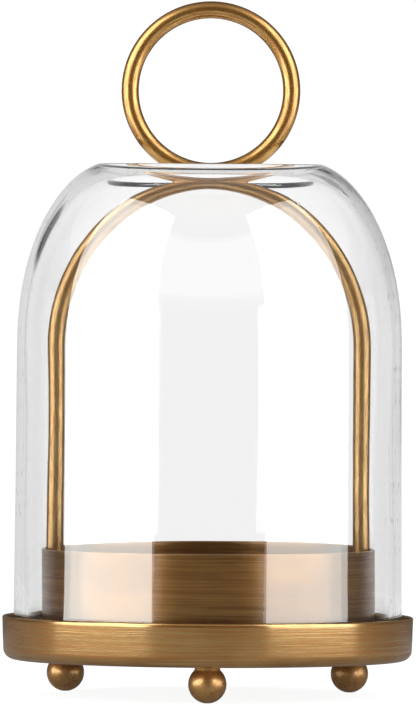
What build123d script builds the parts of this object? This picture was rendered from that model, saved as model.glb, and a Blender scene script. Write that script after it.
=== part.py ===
from build123d import *
import math
import os

# Glass bell lantern: a thick open-topped glass bell that stands in a shallow brass tray on three
# ball feet, and lifts off over the ring handle. Inside it, a brass collar stands on the tray to
# hold a candle, and an arch of brass rod rises from within the collar to carry the ring.
#
# Frame: millimetres, +Z up, origin on the ground under the middle of the tray. The front is -Y,
# where one foot stands, and the arch and the ring lie in the XZ plane.

# ---- driving dimensions ----
sheet = 1.2  # brass sheet of the tray and the collar
rod = 6.35  # brass rod of the arch and the ring

ball = 14.0  # foot diameter
ball_circle = 61.0  # radius of the circle that the feet stand on
foot_wear = 1.0  # radius of the flat worn under each ball
foot_angles = {"front_foot": 270, "rear_right_foot": 30, "rear_left_foot": 150}

tray_radius = 76.0  # outside, at the rim
tray_underside = 13.3
tray_height = 16.0
tray_corner = 4.0  # outside radius where the floor turns up into the wall
tray_draft = 0.5  # how much narrower the wall is at the floor than at the rim
tray_rim_round = 0.42

collar_radius = 61.6  # outside
collar_top = 54.2
collar_rim_round = 0.36

arch_crown = 192.0  # height of the rod's centre line at the top of the arch
arch_waist = 56.4  # half the distance between the legs' centre lines where the bend starts
leg_lean = 0.33  # degrees that each leg leans inwards
crown_radius = 32.0  # bend over the top, to the centre line
crown_angle = 15.0  # degrees of that bend on each side of the middle

ring_radius = 29.8  # to the rod's centre line
ring_centre = 223.3

glass_bottom_radius = 71.8
glass_waist_radius = 71.1  # outside, where the shoulder starts
glass_spring = 124.0  # height of that place
glass_crown = 30.0  # radius where the shoulder would end level, inside the opening
glass_crown_height = 197.6  # height there, a little above the opening's edge
shoulder_pull = 0.6  # how squarely the shoulder turns, from 0 to 1
glass_bottom_wall = 5.2
glass_wall = 4.0
glass_top_wall = 4.6
glass_mouth = 38.0  # radius of the opening in the top
glass_mouth_round = 2.2  # rounding of the opening's edges
glass_foot_round = 1.4  # rounding of the bottom edge

# ---- worked out from them ----
tray_floor = tray_underside + sheet
tray_rim = tray_underside + tray_height
ball_centre = math.sqrt((ball / 2) ** 2 - foot_wear**2)
crown_reach = crown_radius * math.sin(math.radians(crown_angle))
haunch_angle = 90 - leg_lean - crown_angle
haunch_radius = (arch_waist - crown_reach) / (
    math.cos(math.radians(leg_lean)) - math.sin(math.radians(crown_angle))
)

os.makedirs("parts", exist_ok=True)


def shoulder_points(waist, top):
    """Control points of a curve from the waist up to the level top, with no curvature at either
    end, so that the shoulder runs smoothly out of the straight wall."""
    up = top - glass_spring
    out = waist - glass_crown
    return [
        (waist, glass_spring),
        (waist, glass_spring + up * shoulder_pull / 2),
        (waist, glass_spring + up * shoulder_pull),
        (glass_crown + out * shoulder_pull, top),
        (glass_crown + out * shoulder_pull / 2, top),
        (glass_crown, top),
    ]


# The tray: one spun dish of sheet, with a rounded corner and a softened rim.
with BuildPart() as base_tray:
    with BuildSketch(Plane.XZ) as dish:
        with BuildLine():
            Polyline(
                (0, tray_underside),
                (tray_radius - tray_draft, tray_underside),
                (tray_radius, tray_rim),
                (tray_radius - sheet, tray_rim),
                (tray_radius - tray_draft - sheet, tray_floor),
                (0, tray_floor),
                close=True,
            )
        make_face()
        wall_corners = dish.vertices().filter_by(lambda v: v.X > tray_radius / 2)
        outer_corner, inner_corner, *rim_corners = wall_corners.sort_by(Axis.Y)
        fillet(outer_corner, tray_corner)
        fillet(inner_corner, tray_corner - sheet)
        fillet(rim_corners, tray_rim_round)
    revolve(axis=Axis.Z)
base_tray.part.label = "base_tray"
export_step(base_tray.part, "parts/base_tray.step")


# The collar: a hoop of sheet that stands on the tray floor around the candle.
with BuildPart() as candle_collar:
    with BuildSketch(Plane.XZ) as strip:
        with Locations((collar_radius - sheet / 2, tray_floor)):
            Rectangle(sheet, collar_top - tray_floor, align=(Align.CENTER, Align.MIN))
        fillet(strip.vertices().group_by(Axis.Y)[-1], collar_rim_round)
    revolve(axis=Axis.Z)
candle_collar.part.label = "candle_collar"
export_step(candle_collar.part, "parts/candle_collar.step")


# The arch: one rod bent to an inverted U, rounder over the crown than down the haunches. Its legs
# lean inwards a little as they rise, and stand on the tray floor just inside the collar.
with BuildPart() as arch_frame:
    with BuildLine(Plane.XZ) as arch_line:
        crown = JernArc((0, arch_crown), (1, 0), crown_radius, -crown_angle)
        haunch = JernArc(crown @ 1, crown % 1, haunch_radius, -haunch_angle)
        # the leg runs past the tray floor, and is cut off level with it below
        leg_length = ((haunch @ 1).Z - tray_floor + rod) / math.cos(math.radians(leg_lean))
        PolarLine(haunch @ 1, leg_length, -90 + leg_lean)
        mirror(about=Plane.YZ)
    arch_path = arch_line.wire()
    with BuildSketch(arch_path ^ 0):
        Circle(rod / 2)
    sweep(path=arch_path)
    split(bisect_by=Plane.XY.offset(tray_floor), keep=Keep.TOP)
arch_frame.part.label = "arch_frame"
export_step(arch_frame.part, "parts/arch_frame.step")


# The handle: a closed ring of rod, notched underneath so that it saddles the arch's crown.
with BuildPart() as handle_ring:
    with BuildSketch(Plane.XY.offset(ring_centre)):
        with Locations((ring_radius, 0)):
            Circle(rod / 2)
    revolve(axis=Axis((0, 0, ring_centre), (0, 1, 0)))
    add(arch_frame.part, mode=Mode.SUBTRACT)
handle_ring.part.label = "handle_ring"
export_step(handle_ring.part, "parts/handle_ring.step")


# The feet: brass balls, flat on top where each is brazed under the tray, and worn flat below.
for foot_name, angle in foot_angles.items():
    with BuildPart() as foot:
        with PolarLocations(ball_circle, 1, start_angle=angle):
            with Locations((0, 0, ball_centre)):
                Sphere(ball / 2)
        split(bisect_by=Plane.XY.offset(tray_underside), keep=Keep.BOTTOM)
        split(bisect_by=Plane.XY, keep=Keep.TOP)
    foot.part.label = foot_name
    export_step(foot.part, f"parts/{foot_name}.step")


# The glass bell: a straight wall that thins upwards, a shoulder that turns in smoothly, and a
# nearly level top with a round opening wide enough to pass the ring.
with BuildPart() as glass_bell:
    with BuildSketch(Plane.XZ) as wall:
        with BuildLine():
            outer_shoulder = Bezier(*shoulder_points(glass_waist_radius, glass_crown_height))
            inner_shoulder = Bezier(
                *shoulder_points(
                    glass_waist_radius - glass_wall, glass_crown_height - glass_top_wall
                )
            )
            Line(outer_shoulder @ 1, inner_shoulder @ 1)
            Polyline(
                outer_shoulder @ 0,
                (glass_bottom_radius, tray_floor),
                (glass_bottom_radius - glass_bottom_wall, tray_floor),
                inner_shoulder @ 0,
            )
        make_face()
        with Locations((0, glass_crown_height)):
            Rectangle(2 * glass_mouth, 4 * glass_top_wall, mode=Mode.SUBTRACT)
        mouth_corners = wall.vertices().sort_by(Axis.X)[:2]
        foot_corners = wall.vertices().group_by(Axis.Y)[0]
        fillet(mouth_corners, glass_mouth_round)
        fillet(foot_corners, glass_foot_round)
    revolve(axis=Axis.Z)
glass_bell.part.label = "glass_bell"
export_step(glass_bell.part, "parts/glass_bell.step")
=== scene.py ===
import bmesh
import bpy
import math
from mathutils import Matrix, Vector, noise


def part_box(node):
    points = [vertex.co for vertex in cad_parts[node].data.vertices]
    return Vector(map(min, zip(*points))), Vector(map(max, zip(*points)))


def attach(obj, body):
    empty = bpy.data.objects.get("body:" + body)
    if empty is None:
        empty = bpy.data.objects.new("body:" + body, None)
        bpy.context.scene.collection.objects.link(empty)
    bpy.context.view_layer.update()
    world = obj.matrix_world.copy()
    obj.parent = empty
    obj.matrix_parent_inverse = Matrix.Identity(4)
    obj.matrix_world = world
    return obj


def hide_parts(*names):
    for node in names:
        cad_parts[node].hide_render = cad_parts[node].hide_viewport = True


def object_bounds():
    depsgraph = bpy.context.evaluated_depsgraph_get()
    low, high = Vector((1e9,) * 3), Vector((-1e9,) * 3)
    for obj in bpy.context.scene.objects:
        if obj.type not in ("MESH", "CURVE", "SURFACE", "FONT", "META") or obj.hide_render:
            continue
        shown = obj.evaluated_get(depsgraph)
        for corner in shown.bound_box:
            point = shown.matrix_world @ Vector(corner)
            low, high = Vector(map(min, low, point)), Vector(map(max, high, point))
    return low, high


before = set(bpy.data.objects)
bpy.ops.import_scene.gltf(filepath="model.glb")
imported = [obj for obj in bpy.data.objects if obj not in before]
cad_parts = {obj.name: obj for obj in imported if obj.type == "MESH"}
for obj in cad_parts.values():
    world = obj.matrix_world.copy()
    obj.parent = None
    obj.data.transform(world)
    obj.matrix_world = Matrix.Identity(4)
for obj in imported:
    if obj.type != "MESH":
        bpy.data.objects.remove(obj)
cad_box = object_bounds()

# Glass bell lantern, in metres, in the CAD frame: +Z up, the front towards -Y, the arch and the
# ring in the XZ plane. Every shape is rebuilt here as a fine mesh with the unevenness of hand work,
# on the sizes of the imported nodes.

# ---- sizes read from the frame ----
tray_low, tray_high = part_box("base_tray")
collar_low, collar_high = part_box("candle_collar")
arch_low, arch_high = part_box("arch_frame")
ring_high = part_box("handle_ring")[1]
glass_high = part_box("glass_bell")[1]
foot_low, foot_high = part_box("front_foot")

SHEET = collar_low[2] - tray_low[2]
ROD = (arch_high[1] - arch_low[1]) / 2  # radius of the rod
FLOOR = collar_low[2]  # top of the tray's floor
TRAY_RADIUS = tray_high[0]
TRAY_RIM = tray_high[2]
TRAY_UNDERSIDE = tray_low[2]
COLLAR_RADIUS = collar_high[0]
COLLAR_TOP = collar_high[2]
ARCH_CROWN = arch_high[2] - ROD  # the rod's centre line at the top
ARCH_FOOT = arch_high[0] - ROD  # half the distance between the legs at the floor
RING_RADIUS = ring_high[0] - ROD
RING_CENTRE = ring_high[2] - ROD - RING_RADIUS
BALL = (foot_high[0] - foot_low[0]) / 2
BALL_CIRCLE = -(foot_low[1] + foot_high[1]) / 2
GLASS_RADIUS = glass_high[0]
GLASS_TOP = glass_high[2]
HEIGHT = cad_box[1][2] - cad_box[0][2]

# ---- sizes that the boxes don't show, as in the CAD ----
TRAY_CORNER = 0.004
TRAY_DRAFT = 0.0005
FOOT_WEAR = 0.001
LEG_LEAN = math.radians(0.33)
CROWN_RADIUS = 0.032
CROWN_ANGLE = math.radians(15)
GLASS_WAIST = GLASS_RADIUS - 0.0007
GLASS_SPRING = 0.124
GLASS_CROWN = 0.030  # radius of the level middle, most of it cut away by the mouth
GLASS_DOME_TOP = 0.1976
SHOULDER_PULL = 0.6  # how squarely the shoulder turns
GLASS_BOTTOM_WALL = 0.0052
GLASS_WALL = 0.004
GLASS_TOP_WALL = 0.0046
GLASS_MOUTH = 0.038
GLASS_MOUTH_ROUND = 0.0022
GLASS_FOOT_ROUND = 0.0014

# ---- worked out from them ----
BALL_HEIGHT = math.sqrt(BALL**2 - FOOT_WEAR**2)  # of a ball's centre
FEET = (("front_foot", 270), ("rear_right_foot", 30), ("rear_left_foot", 150))  # degrees from +X

# ---- finish ----
BRAZE = 0.0008  # radius of the fillets
RUBBED = 0.0011  # how far the polish reaches from a rubbed edge
FOOT_RUBBED = 0.0025  # the same under a foot
# how far hand work leaves each wall from true, and the step inwards that keeps it inside the CAD
TRAY_WAVE, TRAY_INSET = 0.00022, 0.00012
COLLAR_WAVE, COLLAR_INSET = 0.0003, 0.00015
GLASS_OUTER_WAVE, GLASS_INNER_WAVE, GLASS_INSET = 0.00016, 0.0003, 0.00008

# ---- camera ----
CAMERA_DISTANCE = 4.06
CAMERA_HEIGHT = HEIGHT * 0.749
VIEW_HEIGHT = HEIGHT * 1.0168
AIM = (-0.0005, HEIGHT * 0.4935)  # x and z of the point it looks at
CAMERA_ROLL = 0.35  # degrees

# ---- studio: radiance of what the lantern stands before, and of what it mirrors ----
BACKDROP = 1.05
CARD = 0.7  # beside and before the lantern, as seen through the glass
ROOM_FRONT = 0.03
ROOM_SIDE = 0.3
ROOM_GAP = 0.07  # beyond the outer edges of the softboxes
ROOM_BACK = 0.74  # as the bell's wall bends it
ROOM_BEHIND = 0.11  # as brass mirrors it
ROOM_TOP = 0.4
ROOM_BELOW = 0.8
FLOOR_SEEN = 0.92
FLOOR_MIRRORED = 0.1
FLOOR_GREY = 0.22
FLOOR_REACH = 0.45

# dark flags and stands behind the bell: bearings, heights, softness and what light they leave
FLAGS = (
    ((-156, -146), (8, 18), 1.2, 0.05),
    ((-147.6, -146.6), (-30, 10), 0.3, 0.6),
    ((158, 168), (19, 27), 1.2, 0.35),
    ((150, 166), (3, 19), 2.5, 0.8),
    ((149.5, 151), (-30, 8), 0.4, 0.7),
)

# side, azimuth, width, radiance, and radiance as the glass mirrors it
SOFTBOXES = (("left", -62.4, 1.164, 2.2, 5.2), ("right", 61.3, 1.041, 2.0, 3.8))
SOFTBOX_DISTANCE = 1.0
SOFTBOX_RISE = (-0.1, 1.66)  # heights of its lower and upper edges
GLASS_SOFTBOX_SHARE = 0.99  # nearer and smaller, as two lights in one plane would hide each other
GLASS_SOFTBOX_COLOUR = (0.97, 1.0, 0.95)


# ---- mesh helpers ----
def new_piece(name, verts, faces, wear, material, body, replaces=(), grain=None):
    """A smooth mesh piece that rides on a body, with a wear value on each vertex, and for a rod
    its place round and along the rod."""
    mesh = bpy.data.meshes.new(name)
    mesh.from_pydata(verts, [], faces)
    shell = bmesh.new()
    shell.from_mesh(mesh)
    bmesh.ops.recalc_face_normals(shell, faces=shell.faces)
    shell.to_mesh(mesh)
    shell.free()
    mesh.attributes.new("wear", "FLOAT", "POINT").data.foreach_set("value", wear)
    if grain:
        flat = [value for place in grain for value in place]
        mesh.attributes.new("grain", "FLOAT_VECTOR", "POINT").data.foreach_set("vector", flat)
    for polygon in mesh.polygons:
        polygon.use_smooth = True
    mesh.materials.append(material)
    piece = bpy.data.objects.new(name, mesh)
    bpy.context.scene.collection.objects.link(piece)
    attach(piece, body)
    if replaces:
        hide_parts(*replaces)
    return piece


def arc(centre, radii, start, turn, steps):
    """Points along a circular or elliptical arc, angles in degrees."""
    points = []
    for i in range(steps + 1):
        a = math.radians(start + turn * i / steps)
        points.append((centre[0] + radii[0] * math.cos(a), centre[1] + radii[1] * math.sin(a)))
    return points


def line(start, end, steps):
    """Points from start towards end, without the end."""
    return [
        tuple(s + (e - s) * i / steps for s, e in zip(start, end))
        for i in range(steps)
    ]


def unevenness(angle, height, amount, seed):
    """A smooth hand-made unevenness around a hoop."""
    place = Vector((math.cos(angle) * 1.3, math.sin(angle) * 1.3, height * 18 + seed))
    return amount * noise.noise(place)


def lathe(profile, segments, shift=None):
    """A closed surface of revolution. A profile that starts and ends on the axis is open there,
    any other is a loop. shift(angle, r, z) returns how far to move a point outwards and up."""
    on_axis = profile[0][0] == 0
    ring = profile[1:-1] if on_axis else profile
    count = len(ring)
    verts = []
    for s in range(segments):
        angle = 2 * math.pi * s / segments
        for r, z in ring:
            out, up = shift(angle, r, z) if shift else (0, 0)
            verts.append(((r + out) * math.cos(angle), (r + out) * math.sin(angle), z + up))
    faces = []
    for s in range(segments):
        here, there = s * count, (s + 1) % segments * count
        for i in range(count - 1 if on_axis else count):
            j = (i + 1) % count
            faces.append((here + i, there + i, there + j, here + j))
    if on_axis:
        first, last = len(verts), len(verts) + 1
        verts += [(0, 0, profile[0][1]), (0, 0, profile[-1][1])]
        for s in range(segments):
            here, there = s * count, (s + 1) % segments * count
            faces.append((first, there, here))
            faces.append((last, here + count - 1, there + count - 1))
    return verts, faces


def tube(path, radius, sides, closed):
    """A rod along a path of (point, across) pairs in the XZ plane. across is the direction in
    that plane, square to the path. The last list is each vertex's place round and along it."""
    verts, grain = [], []
    along, before = 0.0, path[0][0]
    for (x, z), (ax, az) in path:
        along += math.dist((x, z), before)
        before = (x, z)
        for k in range(sides):
            a = 2 * math.pi * k / sides
            u, v = radius * math.cos(a), radius * math.sin(a)
            verts.append((x + u * ax, v, z + u * az))
            grain.append((u, v, along))
    faces = []
    stations = len(path)
    for s in range(stations if closed else stations - 1):
        here, there = s * sides, (s + 1) % stations * sides
        for k in range(sides):
            j = (k + 1) % sides
            faces.append((here + k, here + j, there + j, there + k))
    if not closed:
        faces.append(tuple(reversed(range(sides))))
        faces.append(tuple(range((stations - 1) * sides, stations * sides)))
    return verts, faces, grain


# ---- material helpers ----
def new_material(name):
    """A material with an empty node tree."""
    material = bpy.data.materials.new(name)
    material.use_nodes = True
    material.node_tree.nodes.clear()
    return material


def node(tree, kind, inputs=None, **settings):
    """A node with its settings, and with each named input given a value or linked."""
    made = tree.nodes.new(kind)
    for key, value in settings.items():
        setattr(made, key, value)
    for key, value in (inputs or {}).items():
        if isinstance(value, bpy.types.NodeSocket):
            tree.links.new(value, made.inputs[key])
        else:
            made.inputs[key].default_value = value
    return made


def maths(tree, operation, a, b=0.0):
    """The result of a Math node."""
    return node(tree, "ShaderNodeMath", {0: a, 1: b}, operation=operation).outputs[0]


def blend_colour(tree, factor, a, b):
    """The colour a where factor is 0 and b where it is 1. Each is a socket or an RGB triple."""
    mixed = node(tree, "ShaderNodeMix", {"Factor": factor}, data_type="RGBA")
    for socket, value in ((mixed.inputs[6], a), (mixed.inputs[7], b)):
        if isinstance(value, bpy.types.NodeSocket):
            tree.links.new(value, socket)
        else:
            socket.default_value = (*value, 1)
    return mixed.outputs[2]


def mix_value(tree, factor, a, b):
    """The value a where factor is 0 and b where it is 1."""
    return node(tree, "ShaderNodeMix", {0: factor, 2: a, 3: b}).outputs[0]


def spread(tree, value, low, high, to_low=0.0, to_high=1.0):
    """A value mapped from one range to another, and held at its ends."""
    inputs = {"Value": value, "From Min": low, "From Max": high, "To Min": to_low, "To Max": to_high}
    return node(tree, "ShaderNodeMapRange", inputs).outputs[0]


def noise_at(tree, vector, scale, detail, roughness):
    """Smooth noise round 0.5."""
    inputs = {"Vector": vector, "Scale": scale, "Detail": detail, "Roughness": roughness}
    return node(tree, "ShaderNodeTexNoise", inputs).outputs["Fac"]


def object_place(tree):
    """Coordinates of the piece itself, in metres."""
    return node(tree, "ShaderNodeTexCoord").outputs["Object"]


def scaled(tree, vector, scale):
    """Coordinates stretched by a scale for each axis."""
    return node(tree, "ShaderNodeMapping", {"Vector": vector, "Scale": scale}).outputs[0]


def hoop_place(tree):
    """Object coordinates whose third one runs up a wall and out along a floor, so that lines
    across it go round the hoop everywhere."""
    place = object_place(tree)
    parts = node(tree, "ShaderNodeSeparateXYZ", {0: place}).outputs
    flat = node(tree, "ShaderNodeCombineXYZ", {"X": parts["X"], "Y": parts["Y"]}).outputs[0]
    out = node(tree, "ShaderNodeVectorMath", {0: flat}, operation="LENGTH").outputs["Value"]
    along = maths(tree, "ADD", parts["Z"], out)
    return node(tree, "ShaderNodeCombineXYZ", {"X": parts["X"], "Y": parts["Y"], "Z": along}).outputs[0]


def rod_place(tree):
    """Coordinates that run round and along a rod."""
    return node(tree, "ShaderNodeAttribute", attribute_name="grain").outputs["Vector"]


def wear_of(tree):
    """How rubbed the surface is, from 0 to 1."""
    return node(tree, "ShaderNodeAttribute", attribute_name="wear").outputs["Fac"]


def brass(name, place, stretch, patina, metal, dull, polish, relief):
    """Antique brass: a dull brown patina, rubbed through in streaks to the polished metal, and
    bright where worn. place makes the coordinates, stretch is their scale across and along the
    grain, and dull and polish are the roughness of the patina and of the metal."""
    material = new_material(name)
    tree = material.node_tree
    at = place(tree)
    lines = noise_at(tree, scaled(tree, at, stretch), 1.0, 4.0, 0.65)
    scratches = noise_at(tree, scaled(tree, at, [s * 2.3 for s in stretch]), 1.0, 2.0, 0.5)
    clouds = noise_at(tree, at, 38.0, 3.0, 0.55)
    speckle = noise_at(tree, at, 900.0, 2.0, 0.6)
    worn = maths(tree, "MULTIPLY", wear_of(tree), spread(tree, speckle, 0.35, 0.55, 0.55, 1.0))

    # the share of polished metal: streaks and clouds, less fine dark scratches, plus fine bright ones
    streaks = maths(tree, "MULTIPLY", spread(tree, lines, 0.30, 0.70), 0.55)
    shine = maths(tree, "ADD", streaks, maths(tree, "MULTIPLY", clouds, 0.45))
    shine = spread(tree, shine, 0.25, 0.78, 0.12, 0.88)
    shine = maths(tree, "SUBTRACT", shine, spread(tree, scratches, 0.58, 0.72, 0.0, 0.4))
    shine = maths(tree, "ADD", shine, spread(tree, scratches, 0.38, 0.26, 0.0, 0.3))
    shine = node(
        tree, "ShaderNodeMath", {0: shine, 1: worn}, operation="MAXIMUM", use_clamp=True
    ).outputs[0]
    brown = blend_colour(tree, spread(tree, clouds, 0.35, 0.65), [c * 0.8 for c in patina], patina)
    yellow = blend_colour(tree, worn, metal, [min(c * 1.25, 0.95) for c in metal])

    height = maths(tree, "ADD", lines, maths(tree, "MULTIPLY", speckle, 0.35))
    bump = node(
        tree, "ShaderNodeBump", {"Height": height, "Strength": relief, "Distance": 0.00012}
    ).outputs[0]
    layers = []
    for colour, roughness in ((brown, dull), (yellow, polish)):
        rough = spread(tree, clouds, 0.3, 0.7, roughness + 0.04, roughness - 0.04)
        inputs = {
            "Base Color": colour,
            "Roughness": rough,
            "Normal": bump,
            "Metallic": 1.0,
            "Coat Weight": 0.7,
            "Coat Roughness": 0.14,
        }
        layers.append(node(tree, "ShaderNodeBsdfPrincipled", inputs).outputs[0])
    mixed = node(tree, "ShaderNodeMixShader", {0: shine, 1: layers[0], 2: layers[1]})
    node(tree, "ShaderNodeOutputMaterial", {"Surface": mixed.outputs[0]})
    return material


def clear_glass():
    """Hand-blown clear glass: faint seeds and drag lines in its surface."""
    material = new_material("clear_glass")
    tree = material.node_tree
    at = object_place(tree)
    drag = noise_at(tree, scaled(tree, at, (60.0, 60.0, 14.0)), 1.0, 2.0, 0.5)
    seeds = noise_at(tree, scaled(tree, at, (420.0, 420.0, 260.0)), 1.0, 2.0, 0.55)
    height = maths(tree, "ADD", drag, spread(tree, seeds, 0.70, 0.82, 0.0, 0.25))
    bump = node(
        tree, "ShaderNodeBump", {"Height": height, "Strength": 0.05, "Distance": 0.0005}
    ).outputs[0]
    rough = spread(tree, seeds, 0.68, 0.85, 0.0, 0.05)
    shader = node(
        tree,
        "ShaderNodeBsdfPrincipled",
        {
            "Base Color": (0.99, 0.99, 0.99, 1),
            "Roughness": rough,
            "Normal": bump,
            "Transmission Weight": 1.0,
            "IOR": 1.5,
        },
    )
    node(tree, "ShaderNodeOutputMaterial", {"Surface": shader.outputs[0]})
    return material


def floor_material():
    """Pale and even to the camera, and dimmer in what the lantern mirrors."""
    material = new_material("studio_floor")
    tree = material.node_tree
    path = node(tree, "ShaderNodeLightPath").outputs
    seen = maths(tree, "ADD", path["Is Camera Ray"], path["Is Transmission Ray"])
    glow = mix_value(tree, seen, FLOOR_MIRRORED, FLOOR_SEEN)
    shader = node(
        tree,
        "ShaderNodeBsdfPrincipled",
        {
            "Base Color": (FLOOR_GREY, FLOOR_GREY, FLOOR_GREY, 1),
            "Roughness": 0.9,
            "Specular IOR Level": 0.0,
            "Emission Color": (1, 1, 1, 1),
            "Emission Strength": glow,
        },
    )
    node(tree, "ShaderNodeOutputMaterial", {"Surface": shader.outputs[0]})
    return material


# ---- pieces ----
def edge_wear(profile, edges, reach):
    """How near each profile point is to a worn edge, from 0 to 1."""
    values = []
    for r, z in profile:
        near = min(math.hypot(r - er, z - ez) for er, ez in edges)
        values.append(max(0.0, 1 - near / reach))
    return values


def lathe_wear(values, segments, on_axis):
    """The profile's wear values, repeated in the order in which lathe makes its points."""
    ring = values[1:-1] if on_axis else values
    ends = [values[0], values[-1]] if on_axis else []
    return ring * segments + ends


def base_tray(material):
    """A spun dish: floor, rounded corner, and a wall with a softened rim."""
    segments = 360
    wall_foot = TRAY_RADIUS - TRAY_DRAFT
    corner = (wall_foot - TRAY_CORNER, TRAY_UNDERSIDE + TRAY_CORNER)
    lip = SHEET / 2
    rim = (TRAY_RADIUS - lip, TRAY_RIM - lip)
    profile = line((0, TRAY_UNDERSIDE), (corner[0], TRAY_UNDERSIDE), 24)
    profile += arc(corner, (TRAY_CORNER, TRAY_CORNER), -90, 90, 14)[:-1]
    profile += line((wall_foot, corner[1]), (TRAY_RADIUS, rim[1]), 14)
    profile += arc(rim, (lip, lip), 0, 180, 12)[:-1]
    inner = TRAY_CORNER - SHEET
    profile += line((TRAY_RADIUS - SHEET, rim[1]), (wall_foot - SHEET, corner[1]), 14)
    profile += arc(corner, (inner, inner), 0, -90, 10)[:-1]
    profile += line((corner[0], FLOOR), (0, FLOOR), 40)
    profile.append((0, FLOOR))

    def shift(angle, r, z):
        rise = max(0.0, (z - FLOOR) / (TRAY_RIM - FLOOR))
        out = unevenness(angle, z, TRAY_WAVE, 3.0) * rise
        return out - TRAY_INSET * rise, 0

    verts, faces = lathe(profile, segments, shift)
    values = edge_wear(profile, [(TRAY_RADIUS - lip, TRAY_RIM)], RUBBED)
    wear = lathe_wear(values, segments, True)
    return new_piece(
        "tray_shell", verts, faces, wear, material, "stand", ["base_tray"]
    )


def candle_collar(material):
    """A hoop of sheet with a rubbed top edge."""
    segments = 320
    inner = COLLAR_RADIUS - SHEET
    lip = SHEET * 0.3
    top = COLLAR_TOP - lip
    profile = line((COLLAR_RADIUS, FLOOR), (COLLAR_RADIUS, top), 24)
    profile += arc((COLLAR_RADIUS - lip, top), (lip, lip), 0, 90, 6)
    profile += arc((inner + lip, top), (lip, lip), 90, 90, 6)
    profile += line((inner, top), (inner, FLOOR), 24)[1:]
    profile.append((inner, FLOOR))

    def shift(angle, r, z):
        rise = (z - FLOOR) / (COLLAR_TOP - FLOOR)
        return (unevenness(angle, z, COLLAR_WAVE, 11.0) - COLLAR_INSET) * rise, 0

    verts, faces = lathe(profile, segments, shift)
    edges = [(COLLAR_RADIUS - lip, COLLAR_TOP), (inner + lip, COLLAR_TOP)]
    values = edge_wear(profile, edges, RUBBED)
    wear = lathe_wear(values, segments, False)
    return new_piece(
        "collar_hoop", verts, faces, wear, material, "stand", ["candle_collar"]
    )


def arch_path():
    """The arch's centre line from the left foot to the right one, with its side directions."""
    reach = CROWN_RADIUS * math.sin(CROWN_ANGLE)
    lean = LEG_LEAN
    haunch_turn = math.pi / 2 - lean - CROWN_ANGLE
    crown_end = (reach, ARCH_CROWN - CROWN_RADIUS * (1 - math.cos(CROWN_ANGLE)))
    # the haunch ends where the straight leg down to the foot starts
    slope = math.tan(lean)
    widening = math.cos(lean) - math.sin(CROWN_ANGLE) - slope * (math.cos(CROWN_ANGLE) - math.sin(lean))
    haunch = (ARCH_FOOT - crown_end[0] - slope * (crown_end[1] - FLOOR)) / widening
    half = []
    for i in range(40):
        turn = CROWN_ANGLE * i / 40
        drop = CROWN_RADIUS * (1 - math.cos(turn))
        half.append((CROWN_RADIUS * math.sin(turn), ARCH_CROWN - drop, turn))
    centre_x = crown_end[0] - haunch * math.sin(CROWN_ANGLE)
    centre_z = crown_end[1] - haunch * math.cos(CROWN_ANGLE)
    for i in range(40):
        turn = CROWN_ANGLE + haunch_turn * i / 40
        half.append((centre_x + haunch * math.sin(turn), centre_z + haunch * math.cos(turn), turn))
    end_turn = CROWN_ANGLE + haunch_turn
    start = (centre_x + haunch * math.sin(end_turn), centre_z + haunch * math.cos(end_turn))
    for i in range(61):
        share = i / 60
        half.append(
            (start[0] + (ARCH_FOOT - start[0]) * share, start[1] + (FLOOR - start[1]) * share, end_turn)
        )
    right = [((x, z), (math.sin(turn), math.cos(turn))) for x, z, turn in half]
    left = [((-x, z), (-across[0], across[1])) for (x, z), across in reversed(right[1:])]
    return left + right


def arch_frame(material):
    """One rod bent to an inverted U."""
    sides = 40
    path = arch_path()
    verts, faces, grain = tube(path, ROD, sides, False)
    # the ends are cut level with the tray's floor
    for i in list(range(sides)) + list(range(len(verts) - sides, len(verts))):
        x, y, _ = verts[i]
        verts[i] = (x, y, FLOOR)
    wear = [0.0] * len(verts)
    return new_piece(
        "arch_rod", verts, faces, wear, material, "stand", ["arch_frame"], grain
    )


def ring_path(stations):
    """The ring's centre line, from its lowest point, with its outward directions."""
    path = []
    for i in range(stations):
        a = 2 * math.pi * i / stations - math.pi / 2
        across = (math.cos(a), math.sin(a))
        path.append(((RING_RADIUS * across[0], RING_CENTRE + RING_RADIUS * across[1]), across))
    return path


def handle_ring(material):
    """A closed ring of rod that stands on the arch's crown."""
    verts, faces, grain = tube(ring_path(240), ROD, 40, True)
    wear = [0.0] * len(verts)
    return new_piece(
        "ring_rod", verts, faces, wear, material, "stand", ["handle_ring"], grain
    )


def at_foot(verts, angle):
    """Points moved from the origin to the foot at this angle."""
    x, y = BALL_CIRCLE * math.cos(angle), BALL_CIRCLE * math.sin(angle)
    return [(vx + x, vy + y, vz) for vx, vy, vz in verts]


def ball_foot(name, angle, material):
    """A ball flattened under the tray, and worn flat where it stands."""
    segments = 96
    low = -math.degrees(math.acos(FOOT_WEAR / BALL))
    high = math.degrees(math.asin((TRAY_UNDERSIDE - BALL_HEIGHT) / BALL))
    profile = [(0, 0)]
    profile += arc((0, BALL_HEIGHT), (BALL, BALL), low, high - low, 56)
    profile.append((0, TRAY_UNDERSIDE))
    verts, faces = lathe(profile, segments)
    verts = at_foot(verts, angle)
    wear = lathe_wear(edge_wear(profile, [(0, 0)], FOOT_RUBBED), segments, True)
    return new_piece(
        name + "_ball", verts, faces, wear, material, "stand", [name]
    )


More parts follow.
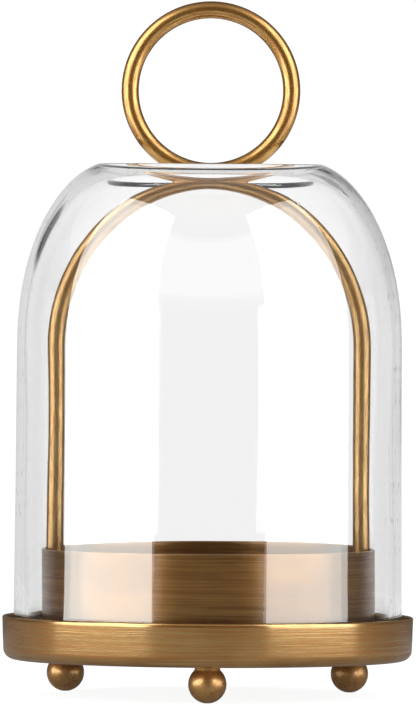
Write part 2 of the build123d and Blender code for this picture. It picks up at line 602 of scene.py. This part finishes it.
def saddle_braze(material):
    """The braze that fills the valley between the ring and the arch's crown, and closes to a
    point on each side where the two rods part."""
    stations, steps = 81, 8
    reach = ROD + BRAZE
    arch = [point for point, _ in arch_path()]

    def heights(x):
        """The height of the ring's centre line, and of the arch's, at x."""
        after = next(i for i, point in enumerate(arch) if point[0] > x)
        (x0, z0), (x1, z1) = arch[after - 1], arch[after]
        ring_z = RING_CENTRE - math.sqrt(RING_RADIUS**2 - x * x)
        return ring_z, z0 + (z1 - z0) * (x - x0) / (x1 - x0)

    # the braze ends where the rods are too far apart for its bead to touch both
    widest = 2 * math.sqrt(reach**2 - BRAZE**2)
    end, too_far = 0.0, RING_RADIUS * 0.9
    for _ in range(30):
        x = (end + too_far) / 2
        ring_z, arch_z = heights(x)
        if ring_z - arch_z < widest * 0.998:
            end = x
        else:
            too_far = x
    verts = []
    for s in range(stations):
        x = end * math.sin(math.pi * (s / (stations - 1) - 0.5))
        ring_z, arch_z = heights(x)
        half = min((ring_z - arch_z) / 2, widest * 0.499)  # just short of where its sides would meet
        middle = (ring_z + arch_z) / 2
        out = math.sqrt(reach**2 - half**2)
        tilt = math.asin(half / reach)
        for side in (1, -1):
            for i in range(steps + 1):
                a = side * tilt * (1 - 2 * i / steps)
                y = side * (out - BRAZE * math.cos(a))
                z = middle + BRAZE * math.sin(a)
                verts.append((x, y, z))
    loop = 2 * (steps + 1)
    faces = []
    for s in range(stations - 1):
        here, there = s * loop, (s + 1) * loop
        for i in range(loop):
            j = (i + 1) % loop
            faces.append((here + i, here + j, there + j, there + i))
    faces.append(tuple(range(loop)))
    faces.append(tuple(reversed(range((stations - 1) * loop, stations * loop))))
    wear = [0.15] * len(verts)
    return new_piece("saddle_braze", verts, faces, wear, material, "stand")


def fillet_ring(name, x, outside, segments, material):
    """A concave bead of braze around a post or hoop that stands on the tray's floor at x."""
    profile = arc((outside + BRAZE, FLOOR + BRAZE), (BRAZE, BRAZE), 180, 90, 7)
    profile.append((outside - BRAZE * 0.4, FLOOR))
    profile.append((outside - BRAZE * 0.4, FLOOR + BRAZE))
    verts, faces = lathe(profile, segments)
    verts = [(vx + x, vy, vz) for vx, vy, vz in verts]
    wear = [0.1] * len(verts)
    return new_piece(name, verts, faces, wear, material, "stand")


def foot_braze(name, angle, material):
    """The neck of braze between a ball and the tray's underside."""
    bead_z = TRAY_UNDERSIDE - BRAZE
    bead_r = math.sqrt((BALL + BRAZE) ** 2 - (bead_z - BALL_HEIGHT) ** 2)
    lean = math.degrees(math.atan2(BALL_HEIGHT - bead_z, -bead_r))
    profile = arc((bead_r, bead_z), (BRAZE, BRAZE), 90, (lean % 360) - 90, 8)
    profile.append((bead_r - 2 * BRAZE, profile[-1][1]))
    profile.append((bead_r - 2 * BRAZE, TRAY_UNDERSIDE))
    verts, faces = lathe(profile, 72)
    verts = at_foot(verts, angle)
    wear = [0.1] * len(verts)
    return new_piece(name + "_braze", verts, faces, wear, material, "stand")


def shoulder(waist, top, count):
    """A quintic Bezier from the waist up to the level top, with no curvature at either end."""
    up, out = top - GLASS_SPRING, waist - GLASS_CROWN
    handles = [
        (waist, GLASS_SPRING),
        (waist, GLASS_SPRING + up * SHOULDER_PULL / 2),
        (waist, GLASS_SPRING + up * SHOULDER_PULL),
        (GLASS_CROWN + out * SHOULDER_PULL, top),
        (GLASS_CROWN + out * SHOULDER_PULL / 2, top),
        (GLASS_CROWN, top),
    ]
    points = []
    for i in range(count + 1):
        t = i / count
        weights = [math.comb(5, k) * t**k * (1 - t) ** (5 - k) for k in range(6)]
        points.append(tuple(sum(w * h[c] for w, h in zip(weights, handles)) for c in (0, 1)))
    return [point for point in points if point[0] > GLASS_MOUTH + GLASS_MOUTH_ROUND]


def glass_profile():
    """The bell's wall, as a loop: down the outside from the mouth, and up the inside."""
    outer = shoulder(GLASS_WAIST, GLASS_DOME_TOP, 110)
    inner = shoulder(GLASS_WAIST - GLASS_WALL, GLASS_DOME_TOP - GLASS_TOP_WALL, 100)
    foot = FLOOR + GLASS_FOOT_ROUND
    inner_foot = GLASS_RADIUS - GLASS_BOTTOM_WALL
    mouth_out = GLASS_MOUTH + GLASS_MOUTH_ROUND
    outside = outer[::-1]
    outside += line((GLASS_WAIST, GLASS_SPRING), (GLASS_RADIUS, foot), 44)[1:]
    outside += arc((GLASS_RADIUS - GLASS_FOOT_ROUND, foot), (GLASS_FOOT_ROUND,) * 2, 0, -90, 8)
    inside = arc((inner_foot + GLASS_FOOT_ROUND, foot), (GLASS_FOOT_ROUND,) * 2, -90, -90, 8)[:-1]
    inside += line((inner_foot, foot), (GLASS_WAIST - GLASS_WALL, GLASS_SPRING), 44)
    inside += inner
    top = outer[-1][1] - GLASS_MOUTH_ROUND
    bottom = inner[-1][1] + GLASS_MOUTH_ROUND
    inside += arc((mouth_out, bottom), (GLASS_MOUTH_ROUND,) * 2, -90, -90, 6)[1:]
    inside += arc((mouth_out, top), (GLASS_MOUTH_ROUND,) * 2, 180, -90, 6)[:-1]
    return outside, inside


def glass_bell(material):
    """The thick bell, with the slow waves that hand blowing leaves in both faces."""
    segments = 300
    outside, inside = glass_profile()
    outer_points = set(outside)

    def shift(angle, r, z):
        # true to the CAD at the foot and at the top
        free = min(1.0, (z - FLOOR) / 0.02) * min(1.0, (GLASS_TOP - z) / 0.01)
        seed, amount = (5.0, GLASS_OUTER_WAVE) if (r, z) in outer_points else (23.0, GLASS_INNER_WAVE)
        return (unevenness(angle, z, amount, seed) - GLASS_INSET) * free, 0

    verts, faces = lathe(outside + inside, segments, shift)
    wear = [0.0] * len(verts)
    return new_piece("bell_glass", verts, faces, wear, material, "bell", ["glass_bell"])


# ---- the studio ----
def studio_floor():
    """A pale round table top, small enough that the glass mirrors the dim room beyond it."""
    sides = 96
    angles = [2 * math.pi * i / sides for i in range(sides)]
    corners = [(FLOOR_REACH * math.cos(a), FLOOR_REACH * math.sin(a), 0) for a in angles]
    mesh = bpy.data.meshes.new("studio_floor")
    mesh.from_pydata(corners, [], [tuple(range(sides))])
    mesh.materials.append(floor_material())
    floor = bpy.data.objects.new("studio_floor", mesh)
    bpy.context.scene.collection.objects.link(floor)
    floor.location.z = cad_box[0][2] - 0.0001  # just clear of the feet
    return floor


def softbox(name, azimuth, distance, width, radiance):
    """A tall upright soft light that faces the lantern. azimuth is degrees from the front, to the
    right."""
    low, high = SOFTBOX_RISE
    data = bpy.data.lights.new(name, "AREA")
    data.shape = "RECTANGLE"
    data.size, data.size_y = width, high - low
    data.energy = 4 * radiance * width * (high - low)
    light = bpy.data.objects.new(name, data)
    a = math.radians(azimuth)
    away = Vector((math.sin(a), -math.cos(a), 0))
    light.location = distance * away + Vector((0, 0, (low + high) / 2))
    light.rotation_euler = away.to_track_quat("Z", "Y").to_euler()
    light.visible_camera = False
    bpy.context.scene.collection.objects.link(light)
    return light


def only_on(light, pieces):
    """Lets a light fall on these pieces alone."""
    group = bpy.data.collections.new(light.name + "_receivers")
    for piece in pieces:
        group.objects.link(piece)
    light.light_linking.receiver_collection = group


def glass_softbox(name, azimuth, width, radiance, bell):
    """The same softbox as only the bell mirrors it."""
    share = GLASS_SOFTBOX_SHARE
    light = softbox(name, azimuth, SOFTBOX_DISTANCE * share, width * share, radiance)
    light.data.color = GLASS_SOFTBOX_COLOUR
    light.visible_transmission = False
    light.visible_diffuse = False
    only_on(light, [bell])


def flag_shade(tree, bearing, rise, bearings, rises, soft, shade):
    """How much of the light a dark flag leaves: shade between its two bearings and its two
    heights in degrees, and all of it elsewhere."""
    inside = None
    for value, (low, high) in ((bearing, bearings), (rise, rises)):
        for edge, way in ((low, 1), (high, -1)):
            share = spread(tree, value, edge - way * soft, edge + way * soft)
            inside = share if inside is None else maths(tree, "MULTIPLY", inside, share)
    return mix_value(tree, inside, 1.0, shade)


def studio_world():
    """A white backdrop, with a dimmer room for what the lantern mirrors."""
    world = bpy.data.worlds.new("studio")
    world.use_nodes = True
    tree = world.node_tree
    tree.nodes.clear()
    way = node(tree, "ShaderNodeTexCoord").outputs["Generated"]
    parts = node(tree, "ShaderNodeSeparateXYZ", {0: way}).outputs
    front = maths(tree, "MULTIPLY", parts["Y"], -1.0)
    bearing = maths(tree, "DEGREES", maths(tree, "ARCTAN2", parts["X"], front))
    azimuth = maths(tree, "ABSOLUTE", bearing)
    rise = maths(tree, "DEGREES", maths(tree, "ARCSINE", parts["Z"]))
    # azimuth is degrees from the front, and rise is degrees above the horizon
    room = spread(tree, azimuth, 25.0, 45.0, ROOM_FRONT, ROOM_SIDE)
    room = mix_value(tree, spread(tree, azimuth, 92.0, 100.0), room, ROOM_GAP)
    room = mix_value(tree, spread(tree, rise, 35.0, 60.0), room, ROOM_TOP)
    room = mix_value(tree, spread(tree, rise, -10.0, -20.0), room, ROOM_BELOW)
    card = spread(tree, azimuth, 95.0, 125.0, CARD, BACKDROP)

    path = node(tree, "ShaderNodeLightPath").outputs
    mirrored = maths(tree, "ADD", path["Glossy Depth"], path["Diffuse Depth"])
    mirrored = maths(tree, "GREATER_THAN", mirrored, 0.5)
    behind = mix_value(tree, path["Is Singular Ray"], ROOM_BEHIND, ROOM_BACK)
    back = spread(tree, azimuth, 125.0, 140.0)
    room = mix_value(tree, back, room, behind)
    light = mix_value(tree, mirrored, card, room)
    for flag in FLAGS:
        light = maths(tree, "MULTIPLY", light, flag_shade(tree, bearing, rise, *flag))
    light = mix_value(tree, path["Is Camera Ray"], light, BACKDROP)
    shader = node(tree, "ShaderNodeBackground", {"Color": (1, 1, 1, 1), "Strength": light})
    node(tree, "ShaderNodeOutputWorld", {"Surface": shader.outputs[0]})
    bpy.context.scene.world = world


def camera():
    """The photograph's view: a long lens from the front, a little above the bell's middle."""
    data = bpy.data.cameras.new("camera")
    data.lens = data.sensor_width * CAMERA_DISTANCE / VIEW_HEIGHT
    data.clip_end = 30
    made = bpy.data.objects.new("camera", data)
    made.location = (0, -CAMERA_DISTANCE, CAMERA_HEIGHT)
    aim = Vector((AIM[0], 0, AIM[1])) - made.location
    turn = aim.to_track_quat("-Z", "Y")
    made.rotation_euler = turn.to_euler()
    made.rotation_euler.rotate_axis("Z", math.radians(CAMERA_ROLL))
    bpy.context.scene.collection.objects.link(made)
    bpy.context.scene.camera = made


def main():
    sheet = brass(
        "antique_brass_sheet", hoop_place, stretch=(22.0, 22.0, 2000.0),
        patina=(0.43, 0.166, 0.033), metal=(0.90, 0.62, 0.26), dull=0.55, polish=0.16, relief=0.12,
    )
    # painted shade: the collar's brass is the tray's sheet brass made far darker, standing for the
    # shade the collar sits in inside the glass bell
    painted_shade_sheet = brass(
        "antique_brass_collar_painted_shade", hoop_place, stretch=(22.0, 22.0, 1700.0),
        patina=(0.160, 0.062, 0.013), metal=(0.37, 0.198, 0.060), dull=0.48, polish=0.38, relief=0.12,
    )
    rod = brass(
        "antique_brass_rod", rod_place, stretch=(1100.0, 1100.0, 110.0),
        patina=(0.44, 0.170, 0.028), metal=(0.80, 0.50, 0.165), dull=0.44, polish=0.28, relief=0.09,
    )
    # painted shade: the arch's brass is the ring's rod brass made darker, standing for the shade the
    # arch sits in inside the glass bell near the collar
    painted_shade_rod = brass(
        "antique_brass_arch_painted_shade", rod_place, stretch=(1100.0, 1100.0, 110.0),
        patina=(0.37, 0.158, 0.036), metal=(0.57, 0.382, 0.148), dull=0.48, polish=0.32, relief=0.09,
    )
    ball = brass(
        "antique_brass_ball", object_place, stretch=(500.0, 500.0, 500.0),
        patina=(0.54, 0.242, 0.070), metal=(0.84, 0.52, 0.200), dull=0.54, polish=0.36, relief=0.10,
    )
    glass = clear_glass()

    base_tray(sheet)
    candle_collar(painted_shade_sheet)
    arch_frame(painted_shade_rod)
    handle_ring(rod)
    saddle_braze(ball)
    for name, angle in FEET:
        ball_foot(name, math.radians(angle), ball)
        foot_braze(name, math.radians(angle), ball)
    fillet_ring("collar_braze", 0, COLLAR_RADIUS, 240, sheet)
    for side, name in ((-1, "left_leg_braze"), (1, "right_leg_braze")):
        fillet_ring(name, side * ARCH_FOOT, ROD, 64, ball)
    bell = glass_bell(glass)

    studio_floor()
    studio_world()
    for name, azimuth, width, radiance, glass_radiance in SOFTBOXES:
        softbox(name + "_softbox", azimuth, SOFTBOX_DISTANCE, width, radiance)
        glass_softbox(name + "_glass_softbox", azimuth, width, glass_radiance, bell)
    camera()
    bpy.context.scene.view_settings.view_transform = "Standard"


main()
